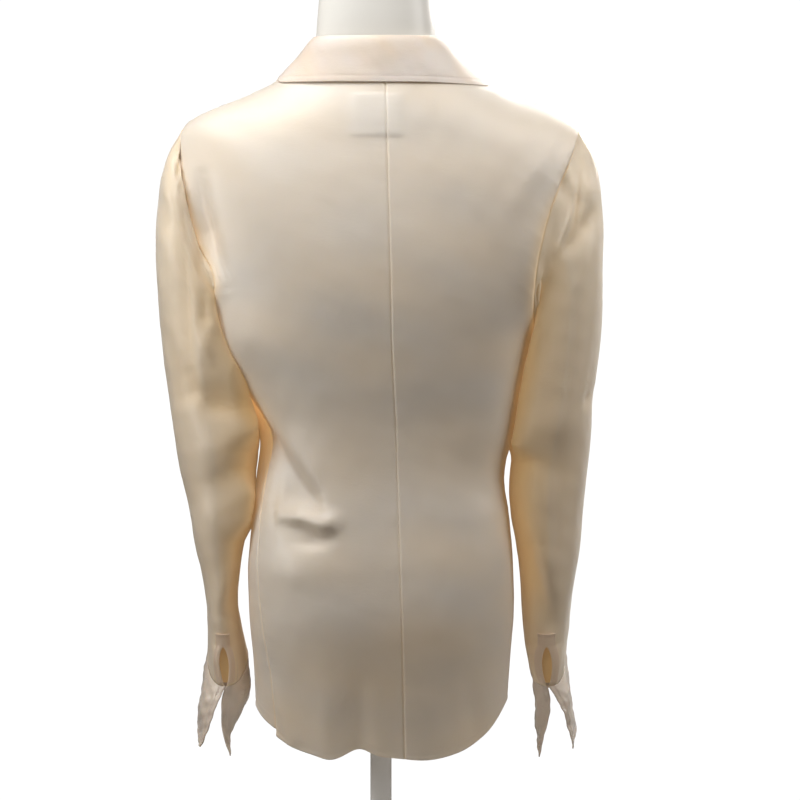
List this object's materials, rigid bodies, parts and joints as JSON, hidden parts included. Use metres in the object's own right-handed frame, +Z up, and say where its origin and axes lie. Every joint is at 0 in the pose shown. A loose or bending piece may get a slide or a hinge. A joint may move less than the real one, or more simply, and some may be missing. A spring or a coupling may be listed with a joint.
{
  "type": "silk blouse on a limbless dress form",
  "caption": "Long-sleeved silk shirt blouse with a turned-down collar, shirt-tail hem and open pointed cuffs, worn by a white torso form on a short stand.",
  "frame": {"origin": "centre of the stand base's flat underside, on the floor", "axes": "+Z up; +Y the wearer's back, the side the picture shows; -Y the button front; +X the wearer's left"},
  "size_m": [0.4652, 0.27, 0.934],
  "materials": {
    "silk": "satin",
    "pearl": "gloss",
    "form": "satin",
    "stand": "satin"
  },
  "bodies": {
    "root": {"back_left": "silk", "back_right": "silk", "front_left": "silk", "front_right": "silk", "buttonhole_band": "silk", "button_band": "silk", "collar_stand": "silk", "collar_fall": "silk", "sleeve_left": "silk", "sleeve_right": "silk", "placket_left": "silk", "placket_right": "silk", "cuff_left": "silk", "cuff_right": "silk", "neck_label": "silk", "button_1": "pearl", "button_2": "pearl", "button_3": "pearl", "button_4": "pearl", "button_5": "pearl", "button_6": "pearl", "button_7": "pearl", "dress_form": "form", "stand_pole": "stand", "stand_base": "stand"}
  },
  "joints": []
}
